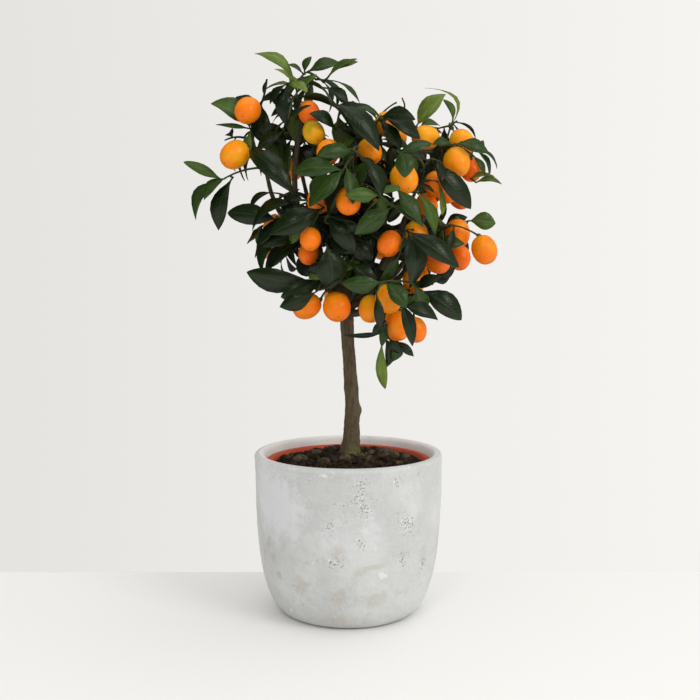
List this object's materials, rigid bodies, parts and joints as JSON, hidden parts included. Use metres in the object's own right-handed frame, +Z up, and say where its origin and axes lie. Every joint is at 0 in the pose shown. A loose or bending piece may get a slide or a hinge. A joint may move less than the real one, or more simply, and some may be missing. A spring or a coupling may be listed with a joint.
{
  "type": "potted oval kumquat tree",
  "caption": "Small standard kumquat tree with glossy leaves and oval orange fruits, in a round-bottomed concrete pot; it stands free.",
  "frame": {"origin": "centre of the pot's flat underside, on the surface that it stands on", "axes": "+Z up along the trunk; +Y to the back, away from the viewer of the picture; +X to the right"},
  "size_m": [0.3145, 0.2206, 0.5561],
  "materials": {
    "concrete": "matte",
    "grower_plastic": "satin",
    "soil": "matte",
    "bark": "matte",
    "foliage": "glossy",
    "twigs": "matte",
    "fruit": "glossy",
    "stone": "matte"
  },
  "bodies": {
    "root": {"bough_back_left": "bark", "bough_back_low": "bark", "bough_back_middle": "bark", "bough_back_right": "bark", "bough_back_top": "bark", "bough_back_top_left": "bark", "bough_back_top_right": "bark", "bough_centre_low": "bark", "bough_far_left": "bark", "bough_front": "bark", "bough_left_low": "bark", "bough_low_right": "bark", "bough_middle": "bark", "bough_right_low": "bark", "bough_right_middle": "bark", "bough_top_left": "bark", "bough_top_middle": "bark", "bough_top_right": "bark", "foliage_back_left": "foliage", "foliage_back_low": "foliage", "foliage_back_middle": "foliage", "foliage_back_right": "foliage", "foliage_back_top": "foliage", "foliage_back_top_left": "foliage", "foliage_back_top_right": "foliage", "foliage_centre_low": "foliage", "foliage_far_left": "foliage", "foliage_front": "foliage", "foliage_left_low": "foliage", "foliage_low_right": "foliage", "foliage_middle": "foliage", "foliage_right_low": "foliage", "foliage_right_middle": "foliage", "foliage_top_left": "foliage", "foliage_top_middle": "foliage", "foliage_top_right": "foliage", "grower_pot": "grower_plastic", "pot": "concrete", "soil": "soil", "trunk": "bark"}
  },
  "joints": []
}
